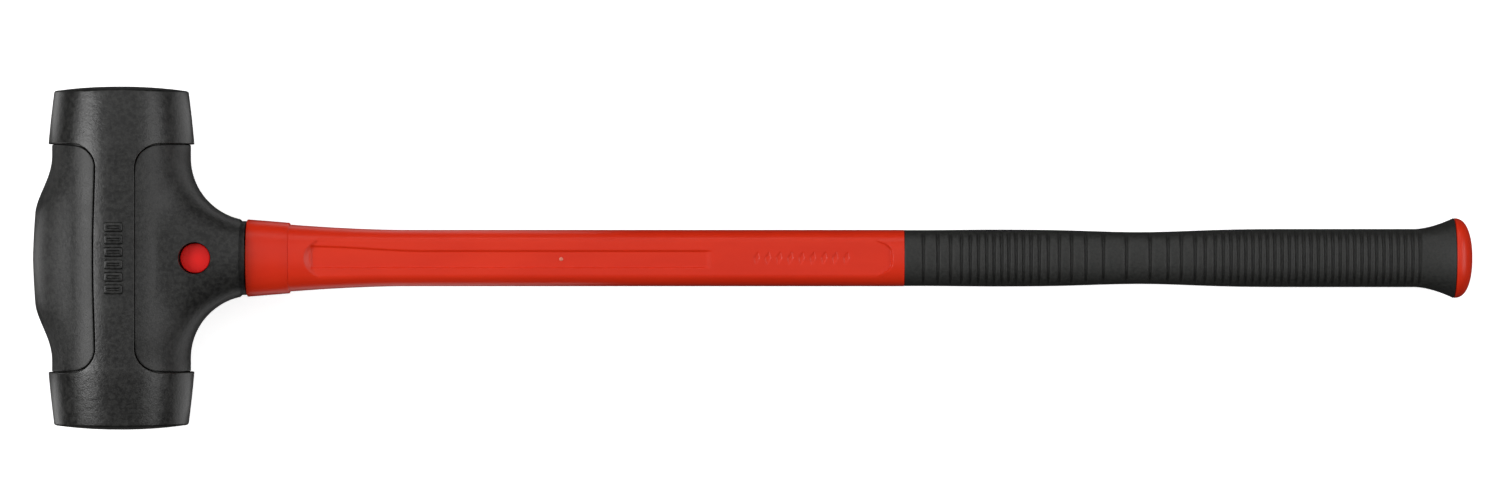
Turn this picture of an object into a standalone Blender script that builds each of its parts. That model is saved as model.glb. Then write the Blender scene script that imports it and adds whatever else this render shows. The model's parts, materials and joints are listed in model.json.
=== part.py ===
"""Long-handled dead-blow sledgehammer, lying on its side on a level surface.

The hammer's own axes: +X runs from the head's centre along the handle to the pommel, +Y along the
head from one striking face to the other, and Z through the flat sides of the handle. All pieces are
parented to an empty that carries those axes. It leans a little, because the thick head and the
slimmer pommel touch the same surface. The world origin is on that surface, below the middle of the
hammer's bounding box.
"""

import math

import bmesh
import bpy
import numpy as np
from mathutils import Matrix, Vector

MM = 0.001
GAP = 0.3 * MM  # between pieces that touch

# Head, measured from the crossing of the head's axis and the handle's axis
FACE_Y = 107.0 * MM  # striking face, from the head's centre
FACE_FLAT_RADIUS = 18 * MM
FACE_CROWN = 3.7 * MM  # how far the domed face falls from its flat middle to its edge
FACE_EDGE_RADIUS = 42.1 * MM
FACE_EDGE_ROUND = 1.8 * MM
RIM_RADIUS = 45.3 * MM  # widest part of the head, where each striking cap ends
RIM_ROUND = 0.6 * MM
CHEEK_RADIUS = 43.1 * MM
WINDOW_HALF_LENGTH = 71.7 * MM  # the openings of the wear shell, which the cheeks fill
STRAP_HALF_WIDTH = 12.5 * MM
WINDOW_CORNER = 15 * MM
SHELL_BORE_RADIUS = 40.6 * MM
SWELL_HEIGHT = 12.1 * MM  # how far the swell opposite the handle stands out of the cheek
SWELL_TAPER = 2.4 * MM  # how much lower it is 40 mm from its middle
SWELL_FLAT_HALF = 28 * MM
SWELL_FOOT_HALF = 64 * MM
SWELL_ANGLE = math.radians(54)
HOSEL_END_X = 78.3 * MM
HOSEL_HALF_HEIGHT = 23.7 * MM
HOSEL_HALF_THICKNESS = 20.6 * MM
HOSEL_FILLET_HIGH = 39 * MM  # fillet between head and hosel in the plane of the swing
HOSEL_FILLET_FLAT = 105 * MM  # and on the flat sides
HOSEL_FADE = 60  # 1/m, keeps the hosel's fillet off the straps
HOSEL_FADE_X = 15 * MM

# Steel inside the head
CANISTER_RADIUS = 36 * MM
CANISTER_BORE = 29 * MM
CANISTER_HALF = 82 * MM
END_FLANGE = 6 * MM
END_SPIGOT = 14 * MM
EYE_START_X = -47 * MM
EYE_END_X = 73 * MM
EYE_HALF_HEIGHT = 20 * MM
EYE_HALF_THICKNESS = 17 * MM
EYE_WALL = 3.5 * MM
RESIN_LENGTH = 3.7 * MM
SHOT_LENGTH = 36 * MM
SHOT_CLEARANCE = 0.4 * MM
SHOT_LEVEL_Z = 9 * MM
SHOT_CENTRE_Y = 44.2 * MM

# Cross pin and its plugs
PIN_X = 48.6 * MM
PIN_RADIUS = 6 * MM
PLUG_RADIUS = 9.1 * MM
PLUG_HOLE_RADIUS = 9.6 * MM
PLUG_TOP_Z = 24.7 * MM

# Handle
TENON_START_X = -43 * MM
COLLAR_START_X = 78.9 * MM
COLLAR_END_X = 105.2 * MM
FLARE_END_X = 178 * MM
SHAFT_END_X = 489.6 * MM
GRIP_END_X = 833.2 * MM
POMMEL_END_X = 845.0 * MM
SHAFT_HALF_HEIGHT = 17.6 * MM
SHAFT_HALF_THICKNESS = 13.9 * MM
CORE_HALF_HEIGHT = 11 * MM
CORE_HALF_THICKNESS = 7.5 * MM
CORE_END_X = 812 * MM
FLAT_Z = 11.8 * MM
FLAT_START_X = 112 * MM
FLAT_END_X = 481 * MM
FLAT_RAMP = 2.5 * MM
GROOVE_START_X = 121.8 * MM
GROOVE_END_X = 370 * MM
GROOVE_HALF = 5.3 * MM
GROOVE_DEPTH = 0.9 * MM
UNDER_GRIP_HALF_HEIGHT = 14.5 * MM
UNDER_GRIP_HALF_THICKNESS = 10.5 * MM
SHAFT_TAIL_X = 826 * MM
POMMEL_HALF_HEIGHT = 25 * MM
POMMEL_HALF_THICKNESS = 19.5 * MM
CAP_SEAT_HALF_HEIGHT = 20.5 * MM
CAP_SEAT_HALF_THICKNESS = 15 * MM

ROUND_STEPS = 32
TURN_STEPS = 56
VOXEL = 6.5 * MM

RED = (0.72, 0.045, 0.02, 1)
PLUG_RED = (0.55, 0.012, 0.01, 1)
BLACK = (0.035, 0.035, 0.034, 1)
STEEL = (0.55, 0.56, 0.58, 1)
SHOT_GREY = (0.32, 0.32, 0.33, 1)
GLASS_FIBRE = (0.62, 0.6, 0.42, 1)
RESIN = (0.45, 0.36, 0.16, 1)


def clear_scene():
    for obj in list(bpy.data.objects):
        bpy.data.objects.remove(obj)


def new_collection(name):
    collection = bpy.data.collections.new(name)
    bpy.context.scene.collection.children.link(collection)
    return collection


def material(name, colour, roughness, metallic=0.0):
    made = bpy.data.materials.new(name)
    made.use_nodes = True
    shader = made.node_tree.nodes["Principled BSDF"]
    shader.inputs["Base Color"].default_value = colour
    shader.inputs["Roughness"].default_value = roughness
    shader.inputs["Metallic"].default_value = metallic
    return made


class Bench:
    """Where pieces and cutters are put together: their collections and the empty that they hang on."""

    def __init__(self):
        self.pieces = new_collection("sledgehammer")
        self.cutters = new_collection("cutters")
        self.axes = bpy.data.objects.new("hammer_axes", None)
        self.pieces.objects.link(self.axes)

    def piece(self, name, mesh, finish):
        mesh.materials.append(finish)
        mesh.shade_smooth()
        mesh.set_sharp_from_angle(angle=math.radians(35))
        return self._place(name, mesh, self.pieces)

    def cutter(self, name, mesh):
        obj = self._place(name, mesh, self.cutters)
        obj.hide_render = True
        obj.display_type = "WIRE"
        return obj

    def _place(self, name, mesh, collection):
        obj = bpy.data.objects.new(name, mesh)
        collection.objects.link(obj)
        obj.parent = self.axes
        return obj


def combine(target, other, operation):
    modifier = target.modifiers.new(f"{operation.lower()}_{other.name}", "BOOLEAN")
    modifier.operation = operation
    modifier.object = other
    return target


def mesh_from(bm, name):
    bmesh.ops.recalc_face_normals(bm, faces=bm.faces)
    mesh = bpy.data.meshes.new(name)
    bm.to_mesh(mesh)
    bm.free()
    return mesh


def oval_rod(name, start_x, end_x, half_height, half_thickness):
    """A solid of oval section along X."""
    middle = Matrix.Translation(((start_x + end_x) / 2, 0, 0))
    turn = Matrix.Rotation(math.radians(90), 4, "Y")
    size = Matrix.Diagonal((half_thickness, half_height, end_x - start_x, 1))
    bm = bmesh.new()
    bmesh.ops.create_cone(
        bm, cap_ends=True, segments=ROUND_STEPS, radius1=1, radius2=1, depth=1, matrix=middle @ turn @ size
    )
    return mesh_from(bm, name)


def round_bar(name, centre, radius, length, axis):
    """A solid cylinder along Y or Z."""
    turn = Matrix.Rotation(math.radians(90), 4, "X") if axis == "Y" else Matrix.Identity(4)
    bm = bmesh.new()
    bmesh.ops.create_cone(
        bm,
        cap_ends=True,
        segments=ROUND_STEPS,
        radius1=radius,
        radius2=radius,
        depth=length,
        matrix=Matrix.Translation(centre) @ turn,
    )
    return mesh_from(bm, name)


def box(name, low, high, corner=0.0):
    """A box whose four edges along Z are rounded to the radius corner."""
    low, high = Vector(low), Vector(high)
    bm = bmesh.new()
    bmesh.ops.create_cube(bm, size=1, matrix=Matrix.Translation((low + high) / 2) @ Matrix.Diagonal((*(high - low), 1)))
    if corner:
        upright = [e for e in bm.edges if abs((e.verts[0].co - e.verts[1].co).z) > (high - low).z / 2]
        bmesh.ops.bevel(bm, geom=upright, offset=corner, segments=8, profile=0.5, affect="EDGES")
    return mesh_from(bm, name)


def turned(name, profile, closed=False):
    """A profile of (radius, distance along the head) for turn_about_head."""
    mesh = bpy.data.meshes.new(name)
    count = len(profile)
    edges = [(i, i + 1) for i in range(count - 1)] + ([(count - 1, 0)] if closed else [])
    mesh.from_pydata([(radius, 0, along) for radius, along in profile], edges, [])
    return mesh


def turn_about_head(obj, steps=ROUND_STEPS):
    """Turns a profile about its local Z, which then points along the head."""
    screw = obj.modifiers.new("turn", "SCREW")
    screw.axis = "Z"
    screw.steps = screw.render_steps = steps
    screw.use_merge_vertices = True
    screw.merge_threshold = 1e-5
    screw.use_smooth_shade = True
    obj.rotation_euler = (math.radians(-90), 0, 0)
    return obj


def oval_section(half_height, half_thickness, power, count):
    """Points (y, z) round a superellipse."""
    points = []
    for i in range(count):
        angle = 2 * math.pi * (i + 0.5) / count
        c, s = math.cos(angle), math.sin(angle)
        y = half_height * math.copysign(abs(c) ** (2 / power), c)
        z = half_thickness * math.copysign(abs(s) ** (2 / power), s)
        points.append((y, z))
    return points


def lofted(name, stations):
    """A closed skin over sections, each (x, [(y, z), ...]) with the same number of points."""
    bm = bmesh.new()
    rings = [[bm.verts.new((x, y, z)) for y, z in section] for x, section in stations]
    for near, far in zip(rings, rings[1:]):
        for i, vert in enumerate(near):
            j = (i + 1) % len(near)
            bm.faces.new((vert, near[j], far[j], far[i]))
    bm.faces.new(rings[0])
    bm.faces.new(rings[-1])
    return mesh_from(bm, name)


def smoothstep(low, high, value):
    t = np.clip((value - low) / (high - low), 0, 1)
    return t * t * (3 - 2 * t)


# ---------------------------------------------------------------- head


def face_profile():
    """Outer profile of the wear shell from the middle of a face to the middle of the head."""
    edge_y = FACE_Y - FACE_CROWN
    halfway = (FACE_FLAT_RADIUS + FACE_EDGE_RADIUS) / 2
    profile = [(0, FACE_Y), (FACE_FLAT_RADIUS, FACE_Y), (halfway, FACE_Y - 0.45 * FACE_CROWN)]
    centre = (FACE_EDGE_RADIUS - FACE_EDGE_ROUND, edge_y - FACE_EDGE_ROUND)
    for degrees in range(90, -1, -30):
        angle = math.radians(degrees)
        profile.append(
            (centre[0] + FACE_EDGE_ROUND * math.cos(angle), centre[1] + FACE_EDGE_ROUND * math.sin(angle))
        )
    profile.append((RIM_RADIUS - RIM_ROUND / 4, WINDOW_HALF_LENGTH + RIM_ROUND))
    profile.append((RIM_RADIUS, WINDOW_HALF_LENGTH - RIM_ROUND))
    return profile


def wear_shell_mesh():
    half = face_profile()
    return turned("wear_shell", half + [(radius, -along) for radius, along in reversed(half)])


def window_mesh(name, side, inset):
    """The opening beside the straps, on the side +1 (handle) or -1 (swell), made smaller by inset."""
    inner = STRAP_HALF_WIDTH + inset
    outer = HOSEL_END_X if inset and side > 0 else HOSEL_END_X + 20 * MM
    low_x, high_x = sorted((side * inner, side * outer))
    half_length = WINDOW_HALF_LENGTH - inset
    deep = 60 * MM
    # The far corners lie outside the head, so only the two next to the strap round anything off.
    reach = 2 * WINDOW_CORNER if side < 0 else 0
    corner = WINDOW_CORNER - inset
    if side > 0 and inset:
        return rounded_strap_side(name, low_x, high_x, half_length, deep, corner)
    return box(name, (low_x - reach, -half_length, -deep), (high_x, half_length, deep), corner)


def rounded_strap_side(name, low_x, high_x, half_length, deep, corner):
    """A box along the handle, rounded only at the strap, because its far end is the hosel's end face."""
    bm = bmesh.new()
    size = Vector((high_x - low_x, 2 * half_length, 2 * deep))
    middle = Vector(((low_x + high_x) / 2, 0, 0))
    bmesh.ops.create_cube(bm, size=1, matrix=Matrix.Translation(middle) @ Matrix.Diagonal((*size, 1)))
    near = [e for e in bm.edges if all(abs(v.co.x - low_x) < GAP for v in e.verts)]
    upright = [e for e in near if abs((e.verts[0].co - e.verts[1].co).z) > deep]
    bmesh.ops.bevel(bm, geom=upright, offset=corner, segments=8, profile=0.5, affect="EDGES")
    return mesh_from(bm, name)


def cheek_distance(points):
    """Signed distance, roughly, to the surface of cheeks, swell and hosel, for an array of points."""
    x, y, z = points.T
    along, across = np.abs(y), np.hypot(y, z) + 1e-9
    radius = np.hypot(x, z)
    angle = np.abs(np.arctan2(np.abs(z), -x))
    swell = (1 - smoothstep(SWELL_FLAT_HALF, SWELL_FOOT_HALF, along)) * (1 - smoothstep(0, SWELL_ANGLE, angle))
    to_head = radius - CHEEK_RADIUS - (SWELL_HEIGHT - SWELL_TAPER * (along / (40 * MM)) ** 1.5) * swell
    oval = np.sqrt((y / HOSEL_HALF_HEIGHT) ** 2 + (z / HOSEL_HALF_THICKNESS) ** 2) + 1e-9
    to_hosel = across * (1 - 1 / oval) + HOSEL_FADE * np.clip(HOSEL_FADE_X - x, 0, None) ** 2
    fillet = HOSEL_FILLET_FLAT + (HOSEL_FILLET_HIGH - HOSEL_FILLET_FLAT) * (y / across) ** 2
    # The fillet's arc touches both surfaces, which meet at an angle with this cosine.
    cosine = np.clip(z**2 / (radius * across + 1e-9), 0, 0.98)
    head_in, hosel_in = fillet - to_head, fillet - to_hosel
    square = head_in**2 + hosel_in**2 - 2 * cosine * head_in * hosel_in
    arc = fillet - np.sqrt(np.maximum(square, 0) / (1 - cosine**2))
    between_both = (head_in > cosine * hosel_in) & (hosel_in > cosine * head_in)
    return np.where(between_both, arc, np.minimum(to_head, to_hosel))


def settle_on_cheek(points, passes=12):
    """Moves points along the gradient of cheek_distance until they lie on its surface."""
    step = 1e-5
    for _ in range(passes):
        value = cheek_distance(points)
        slopes = [
            (cheek_distance(points + step * axis) - cheek_distance(points - step * axis)) / (2 * step)
            for axis in np.eye(3)
        ]
        gradient = np.stack(slopes, axis=1)
        points = points - gradient * (value / np.maximum((gradient**2).sum(1), 0.25))[:, None]
    return points


def cheek_mesh(bench):
    """Cheeks, swell and hosel as one rounded form, longer at every end than is kept of it."""
    spare = 8 * MM
    half_length = WINDOW_HALF_LENGTH + spare
    hosel_end = HOSEL_END_X + spare
    barrel = bench.cutter("rough_barrel", round_bar("rough_barrel", (0, 0, 0), CHEEK_RADIUS, 2 * half_length, "Y"))
    hosel = bench.cutter(
        "rough_hosel", oval_rod("rough_hosel", 0, hosel_end, HOSEL_HALF_HEIGHT, HOSEL_HALF_THICKNESS)
    )
    combine(barrel, hosel, "UNION")
    remesh = barrel.modifiers.new("even_faces", "REMESH")
    remesh.mode = "VOXEL"
    remesh.voxel_size = VOXEL
    graph = bpy.context.evaluated_depsgraph_get()
    mesh = bpy.data.meshes.new_from_object(barrel.evaluated_get(graph))
    for rough in (barrel, hosel):
        bpy.data.objects.remove(rough)
    points = np.array([v.co for v in mesh.vertices], float)
    free = (np.abs(points[:, 1]) < half_length - spare / 3) & (points[:, 0] < hosel_end - spare / 3)
    points[free] = settle_on_cheek(points[free])
    mesh.vertices.foreach_set("co", points.astype(np.float32).ravel())
    mesh.update()
    return mesh


def make_head_covers(bench, finishes):
    shell = turn_about_head(bench.piece("wear_shell", wear_shell_mesh(), finishes["jacket"]), TURN_STEPS)
    hollow_length = 2 * (CANISTER_HALF + END_FLANGE + 2 * GAP)
    hollow = round_bar("shell_hollow", (0, 0, 0), SHELL_BORE_RADIUS, hollow_length, "Y")
    combine(shell, bench.cutter("shell_hollow", hollow), "DIFFERENCE")
    for label, side in (("handle", 1), ("swell", -1)):
        opening = bench.cutter(f"shell_window_{label}", window_mesh(f"shell_window_{label}", side, 0))
        combine(shell, opening, "DIFFERENCE")

    sleeve_length = 2 * (CANISTER_HALF + END_FLANGE + GAP)
    sleeve = round_bar("head_body", (0, 0, 0), SHELL_BORE_RADIUS - GAP, sleeve_length, "Y")
    body = bench.piece("head_body", sleeve, finishes["jacket"])
    for label, side in (("handle", 1), ("swell", -1)):
        cheek = bench.cutter(f"cheek_{label}", cheek_mesh(bench))
        window = bench.cutter(f"cheek_window_{label}", window_mesh(f"cheek_window_{label}", side, GAP))
        combine(cheek, window, "INTERSECT")
        combine(body, cheek, "UNION")
    return shell, body


def eye_rod(name, start_x, end_x, grow):
    """An oval rod of the eye tube's outer section, larger by grow all round."""
    return oval_rod(name, start_x, end_x, EYE_HALF_HEIGHT + grow, EYE_HALF_THICKNESS + grow)


def make_steel(bench, finishes, body):
    steel = finishes["steel"]
    ring = [
        (CANISTER_BORE, CANISTER_HALF),
        (CANISTER_RADIUS, CANISTER_HALF),
        (CANISTER_RADIUS, -CANISTER_HALF),
        (CANISTER_BORE, -CANISTER_HALF),
    ]
    canister = turn_about_head(bench.piece("canister_tube", turned("canister_tube", ring, closed=True), steel))
    eye_hole = bench.cutter("eye_hole", eye_rod("eye_hole", EYE_START_X - GAP, HOSEL_END_X + 20 * MM, GAP))
    combine(canister, eye_hole, "DIFFERENCE")

    for label, side in (("a", 1), ("b", -1)):
        inner = CANISTER_HALF - END_SPIGOT
        seat = CANISTER_HALF + GAP
        outer = seat + END_FLANGE
        profile = [
            (0, outer),
            (CANISTER_RADIUS, outer),
            (CANISTER_RADIUS, seat),
            (CANISTER_BORE - GAP, seat),
            (CANISTER_BORE - GAP, inner),
            (0, inner),
        ]
        if side < 0:
            profile = [(radius, -along) for radius, along in reversed(profile)]
        turn_about_head(bench.piece(f"end_plug_{label}", turned(f"end_plug_{label}", profile), steel))

    jacket_bore = round_bar("jacket_bore", (0, 0, 0), CANISTER_RADIUS + GAP, 4 * CANISTER_HALF, "Y")
    combine(body, bench.cutter("jacket_bore", jacket_bore), "DIFFERENCE")
    combine(body, eye_hole, "DIFFERENCE")

    eye = bench.piece("eye_tube", eye_rod("eye_tube", EYE_START_X, EYE_END_X, 0), steel)
    eye_bore = eye_rod("eye_bore", EYE_START_X - EYE_WALL, EYE_END_X + EYE_WALL, -EYE_WALL)
    combine(eye, bench.cutter("eye_bore", eye_bore), "DIFFERENCE")
    resin = eye_rod("resin_plug", EYE_START_X + GAP, EYE_START_X + GAP + RESIN_LENGTH, -EYE_WALL - GAP)
    bench.piece("resin_plug", resin, finishes["resin"])
    return eye


def make_shot(bench, finish):
    """The loose shot on each side of the eye, as one bed with a level top that slides along the head."""
    for label, side in (("a", 1), ("b", -1)):
        name = f"shot_charge_{label}"
        bed = round_bar(name, (0, 0, 0), CANISTER_BORE - SHOT_CLEARANCE, SHOT_LENGTH, "Y")
        charge = bench.piece(name, bed, finish)
        charge.location = (0, side * SHOT_CENTRE_Y, 0)
        reach = 2 * CANISTER_BORE
        above = box(f"above_{name}", (-reach, -reach, SHOT_LEVEL_Z), (reach, reach, 2 * reach))
        cutter = bench.cutter(f"above_{name}", above)
        cutter.location = charge.location
        combine(charge, cutter, "DIFFERENCE")


def make_pin(bench, finishes, drilled, body):
    """The cross pin, a red plug over each end, and their holes."""
    half = EYE_HALF_THICKNESS
    pin = round_bar("cross_pin", (PIN_X, 0, 0), PIN_RADIUS, 2 * half, "Z")
    bench.piece("cross_pin", pin, finishes["steel"])
    hole = round_bar("pin_hole", (PIN_X, 0, 0), PIN_RADIUS + GAP, 6 * half, "Z")
    pin_hole = bench.cutter("pin_hole", hole)
    for obj in drilled:
        combine(obj, pin_hole, "DIFFERENCE")
    seat = half + GAP
    wide = round_bar("plug_hole", (PIN_X, 0, 0), PLUG_HOLE_RADIUS, 6 * half, "Z")
    combine(body, bench.cutter("plug_hole", wide), "DIFFERENCE")
    for label, side in (("front", 1), ("back", -1)):
        name = f"pin_plug_{label}"
        centre = (PIN_X, 0, side * (seat + PLUG_TOP_Z) / 2)
        plug = bench.piece(name, round_bar(name, centre, PLUG_RADIUS, PLUG_TOP_Z - seat, "Z"), finishes["plug"])
        bevel = plug.modifiers.new("edge", "BEVEL")
        bevel.width = 0.6 * MM
        bevel.segments = 2
        bevel.limit_method = "ANGLE"


# ---------------------------------------------------------------- handle


def shaft_half_sizes(x):
    """Half height and half thickness of the red shaft between collar and grip."""
    flare = (max(0.0, FLARE_END_X - x) / (FLARE_END_X - COLLAR_END_X)) ** 1.7
    return SHAFT_HALF_HEIGHT + 3.4 * MM * flare, SHAFT_HALF_THICKNESS + 3.8 * MM * flare


def flat_level(x):
    """Height of the shaft's flat sides: a plane, with a short ramp at the grip and a long one at the flare."""
    rise_to_grip = 3 * MM * smoothstep(FLAT_END_X - FLAT_RAMP, FLAT_END_X, x)
    rise_to_flare = 6 * MM * (1 - smoothstep(FLAT_START_X - 10 * MM, GROOVE_START_X, x))
    return FLAT_Z + rise_to_grip + rise_to_flare


def groove_depth(x):
    inside = smoothstep(GROOVE_START_X, GROOVE_START_X + 0.8 * MM, x)
    return GROOVE_DEPTH * inside * (1 - smoothstep(GROOVE_END_X - 4 * MM, GROOVE_END_X, x))


def shaft_section(x, count=6):
    """The shaft's section: a rounded oval with flat sides and a shallow groove along each."""
    half_height, half_thickness = shaft_half_sizes(x)
    level, depth = flat_level(x), groove_depth(x)
    groove = GROOVE_HALF * (1 + 0.5 * (1 - smoothstep(GROOVE_START_X, FLARE_END_X, x)))
    wall = 0.5 * MM
    flat = [(groove, level - depth), (groove + wall, level)]
    arc = []
    for i in range(count):
        angle = math.radians(52) * (1 - i / (count - 1))
        y = half_height * math.cos(angle) ** (2 / 2.5)
        z = half_thickness * math.sin(angle) ** (2 / 2.5)
        arc.append((y, z))
    quarter = flat + arc
    quarter = [(y, min(z, level, oval_z(y, half_height, half_thickness))) for y, z in quarter]
    return mirrored_section(quarter)


def oval_z(y, half_height, half_thickness):
    """Half thickness of the shaft's plain oval at height y."""
    return half_thickness * max(0.0, 1 - (y / half_height) ** 2.5) ** (1 / 2.5)


def mirrored_section(quarter):
    """A whole section from the quarter where y and z are positive, whose last point is on the y axis."""
    front = quarter + [(y, -z) for y, z in reversed(quarter[:-1])]
    return front + [(-y, z) for y, z in reversed(front)]


def make_shaft(bench, finish):
    marks = {
        COLLAR_END_X + GAP,
        FLAT_START_X,
        GROOVE_START_X,
        GROOVE_START_X + 0.8 * MM,
        GROOVE_END_X - 4 * MM,
        GROOVE_END_X,
        FLAT_END_X - FLAT_RAMP,
        FLAT_END_X,
        SHAFT_END_X,
    }
    marks |= {GROOVE_START_X + (FLARE_END_X - GROOVE_START_X) * i / 5 for i in range(1, 6)}
    marks = sorted(marks)
    shaft = bench.piece("shaft", lofted("shaft", [(x, shaft_section(x)) for x in marks]), finish)
    tenon_half = (EYE_HALF_HEIGHT - EYE_WALL - GAP, EYE_HALF_THICKNESS - EYE_WALL - GAP)
    tenon = bench.cutter("tenon", oval_rod("tenon", TENON_START_X, COLLAR_END_X + 10 * MM, *tenon_half))
    combine(shaft, tenon, "UNION")
    tail = oval_rod(
        "grip_carrier",
        SHAFT_END_X - 10 * MM,
        SHAFT_TAIL_X,
        UNDER_GRIP_HALF_HEIGHT,
        UNDER_GRIP_HALF_THICKNESS,
    )
    combine(shaft, bench.cutter("grip_carrier", tail), "UNION")
    bore = oval_rod(
        "core_bore",
        TENON_START_X - 10 * MM,
        SHAFT_TAIL_X + 10 * MM,
        CORE_HALF_HEIGHT + GAP,
        CORE_HALF_THICKNESS + GAP,
    )
    combine(shaft, bench.cutter("core_bore", bore), "DIFFERENCE")
    return shaft


def make_core(bench, finish):
    rod = oval_rod("handle_core", TENON_START_X + GAP, CORE_END_X - GAP, CORE_HALF_HEIGHT, CORE_HALF_THICKNESS)
    return bench.piece("handle_core", rod, finish)


def make_collar(bench, finish):
    stations = []
    length = COLLAR_END_X - COLLAR_START_X
    edge = 0.6 * MM
    for x, inset in ((0, edge), (edge, 0), (length / 2, 0), (length - edge / 2, 0), (length, edge / 2)):
        taper = x / length
        size = (24.2 * MM - 2.0 * MM * taper - inset, 20.8 * MM - 1.6 * MM * taper - inset)
        stations.append((COLLAR_START_X + x, oval_section(*size, 2.15, ROUND_STEPS)))
    collar = bench.piece("shaft_collar", lofted("shaft_collar", stations), finish)
    bore = oval_rod(
        "collar_bore",
        COLLAR_START_X - 10 * MM,
        COLLAR_END_X + 10 * MM,
        EYE_HALF_HEIGHT - EYE_WALL,
        EYE_HALF_THICKNESS - EYE_WALL,
    )
    combine(collar, bench.cutter("collar_bore", bore), "DIFFERENCE")
    return collar


def grip_half_sizes(x):
    """Half height and half thickness of the grip: full, waisted between the hands, full, then flared."""
    height = 17.5 * MM + 0.35 * MM * smoothstep(500 * MM, 550 * MM, x)
    height -= 1.6 * MM * math.exp(-(((x - 637 * MM) / (42 * MM)) ** 2))
    height += 0.35 * MM * smoothstep(640 * MM, 720 * MM, x)
    flare = max(0.0, (x - 809 * MM) / (GRIP_END_X - 809 * MM)) ** 1.7
    thickness = height * 0.8
    return height + (POMMEL_HALF_HEIGHT - 18.2 * MM) * flare, thickness + (POMMEL_HALF_THICKNESS - 14.5 * MM) * flare


def groove_places():
    """Centres of the grooves across the grip, closest together where each hand closes."""
    x, places = 500.4 * MM, []
    while x < 811 * MM:
        places.append(x)
        start = 4.8 * MM * math.exp(-(((x - 496.4 * MM) / (22.5 * MM)) ** 2))
        waist = 10.6 * MM * math.exp(-(((x - 625 * MM) / (33 * MM)) ** 2))
        x += 4.55 * MM + start + waist
    return places


def make_grip(bench, finish):
    start = SHAFT_END_X + GAP
    flare = [GRIP_END_X - (GRIP_END_X - 812 * MM) * (1 - i / 6) for i in range(7)]
    stations = []
    cuts = {start: 0.0, **{x: 0.0 for x in flare}}
    for x in groove_places():
        cuts.update({x: 0.8 * MM, x + 1.5 * MM: 0.0})
    for x in sorted(cuts):
        section = oval_section(*grip_half_sizes(x), 2.3, 16)
        half_height = grip_half_sizes(x)[0]
        depth = [cuts[x] * (1 - smoothstep(0.72, 0.95, abs(y) / half_height)) for y, _ in section]
        stations.append((x, [(y, z - math.copysign(d, z)) for (y, z), d in zip(section, depth)]))
    grip = bench.piece("grip_sleeve", lofted("grip_sleeve", stations), finish)
    bore = oval_rod(
        "grip_bore",
        start - 10 * MM,
        SHAFT_TAIL_X + 1 * MM,
        UNDER_GRIP_HALF_HEIGHT + GAP,
        UNDER_GRIP_HALF_THICKNESS + GAP,
    )
    combine(grip, bench.cutter("grip_bore", bore), "DIFFERENCE")
    seat = oval_rod(
        "cap_seat",
        SHAFT_TAIL_X,
        GRIP_END_X + 10 * MM,
        CAP_SEAT_HALF_HEIGHT + GAP,
        CAP_SEAT_HALF_THICKNESS + GAP,
    )
    combine(grip, bench.cutter("cap_seat", seat), "DIFFERENCE")
    return grip


def make_pommel_cap(bench, finish):
    start = GRIP_END_X + GAP
    depth = POMMEL_END_X - start
    stations = []
    for i in range(9):
        t = math.sin(math.radians(90) * i / 8)
        shrink = (1 - t**2.6) ** (1 / 2.6) if i < 8 else 0.0
        size = (POMMEL_HALF_HEIGHT * max(shrink, 0.2), POMMEL_HALF_THICKNESS * max(shrink, 0.2))
        stations.append((start + depth * t, oval_section(*size, 2.1, ROUND_STEPS)))
    cap = bench.piece("pommel_cap", lofted("pommel_cap", stations), finish)
    seat = oval_rod("cap_boss", SHAFT_TAIL_X + GAP, start + 1 * MM, CAP_SEAT_HALF_HEIGHT, CAP_SEAT_HALF_THICKNESS)
    combine(cap, bench.cutter("cap_boss", seat), "UNION")
    spigot = oval_rod("cap_spigot", CORE_END_X, SHAFT_TAIL_X + 1 * MM, CORE_HALF_HEIGHT, CORE_HALF_THICKNESS)
    combine(cap, bench.cutter("cap_spigot", spigot), "UNION")
    return cap


# ---------------------------------------------------------------- resting place


def lay_on_surface(bench):
    """Leans the hammer until head and pommel touch the surface, and centres it over the origin."""
    reach = math.hypot(GRIP_END_X, POMMEL_HALF_THICKNESS)
    lean = math.asin(RIM_RADIUS / reach) - math.atan2(POMMEL_HALF_THICKNESS, GRIP_END_X)
    bench.axes.rotation_euler = (0, lean, 0)
    left = Vector((-(CHEEK_RADIUS + SWELL_HEIGHT), 0, 0))
    right = Vector((POMMEL_END_X, 0, 0))
    turn = Matrix.Rotation(lean, 3, "Y")
    middle = ((turn @ left).x + (turn @ right).x) / 2
    bench.axes.location = (-middle, 0, RIM_RADIUS)


def main():
    clear_scene()
    bench = Bench()
    finishes = {
        "jacket": material("black_polyurethane", BLACK, 0.5),
        "grip": material("black_grip_rubber", BLACK, 0.6),
        "shaft": material("red_shaft_plastic", RED, 0.35),
        "plug": material("red_plug_plastic", PLUG_RED, 0.35),
        "steel": material("plain_steel", STEEL, 0.35, 1.0),
        "shot": material("steel_shot", SHOT_GREY, 0.4, 1.0),
        "core": material("glass_fibre", GLASS_FIBRE, 0.5),
        "resin": material("casting_resin", RESIN, 0.3),
    }
    _, body = make_head_covers(bench, finishes)
    eye = make_steel(bench, finishes, body)
    make_shot(bench, finishes["shot"])
    core = make_core(bench, finishes["core"])
    shaft = make_shaft(bench, finishes["shaft"])
    make_pin(bench, finishes, (eye, core, shaft), body)
    make_collar(bench, finishes["shaft"])
    make_grip(bench, finishes["grip"])
    make_pommel_cap(bench, finishes["shaft"])
    lay_on_surface(bench)


main()
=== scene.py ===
"""The dead-blow sledgehammer's looks: fine skins over the CAD model, materials, floor, light and camera.

Every skin is modelled in the hammer's own axes: +X from the head's centre to the pommel, +Y along the
head, +Z out of the flat side that faces the camera. HAMMER carries those axes into the frame.
"""

import json
import math

import bmesh
import bpy
import numpy as np
from mathutils import Matrix, Vector


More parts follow.
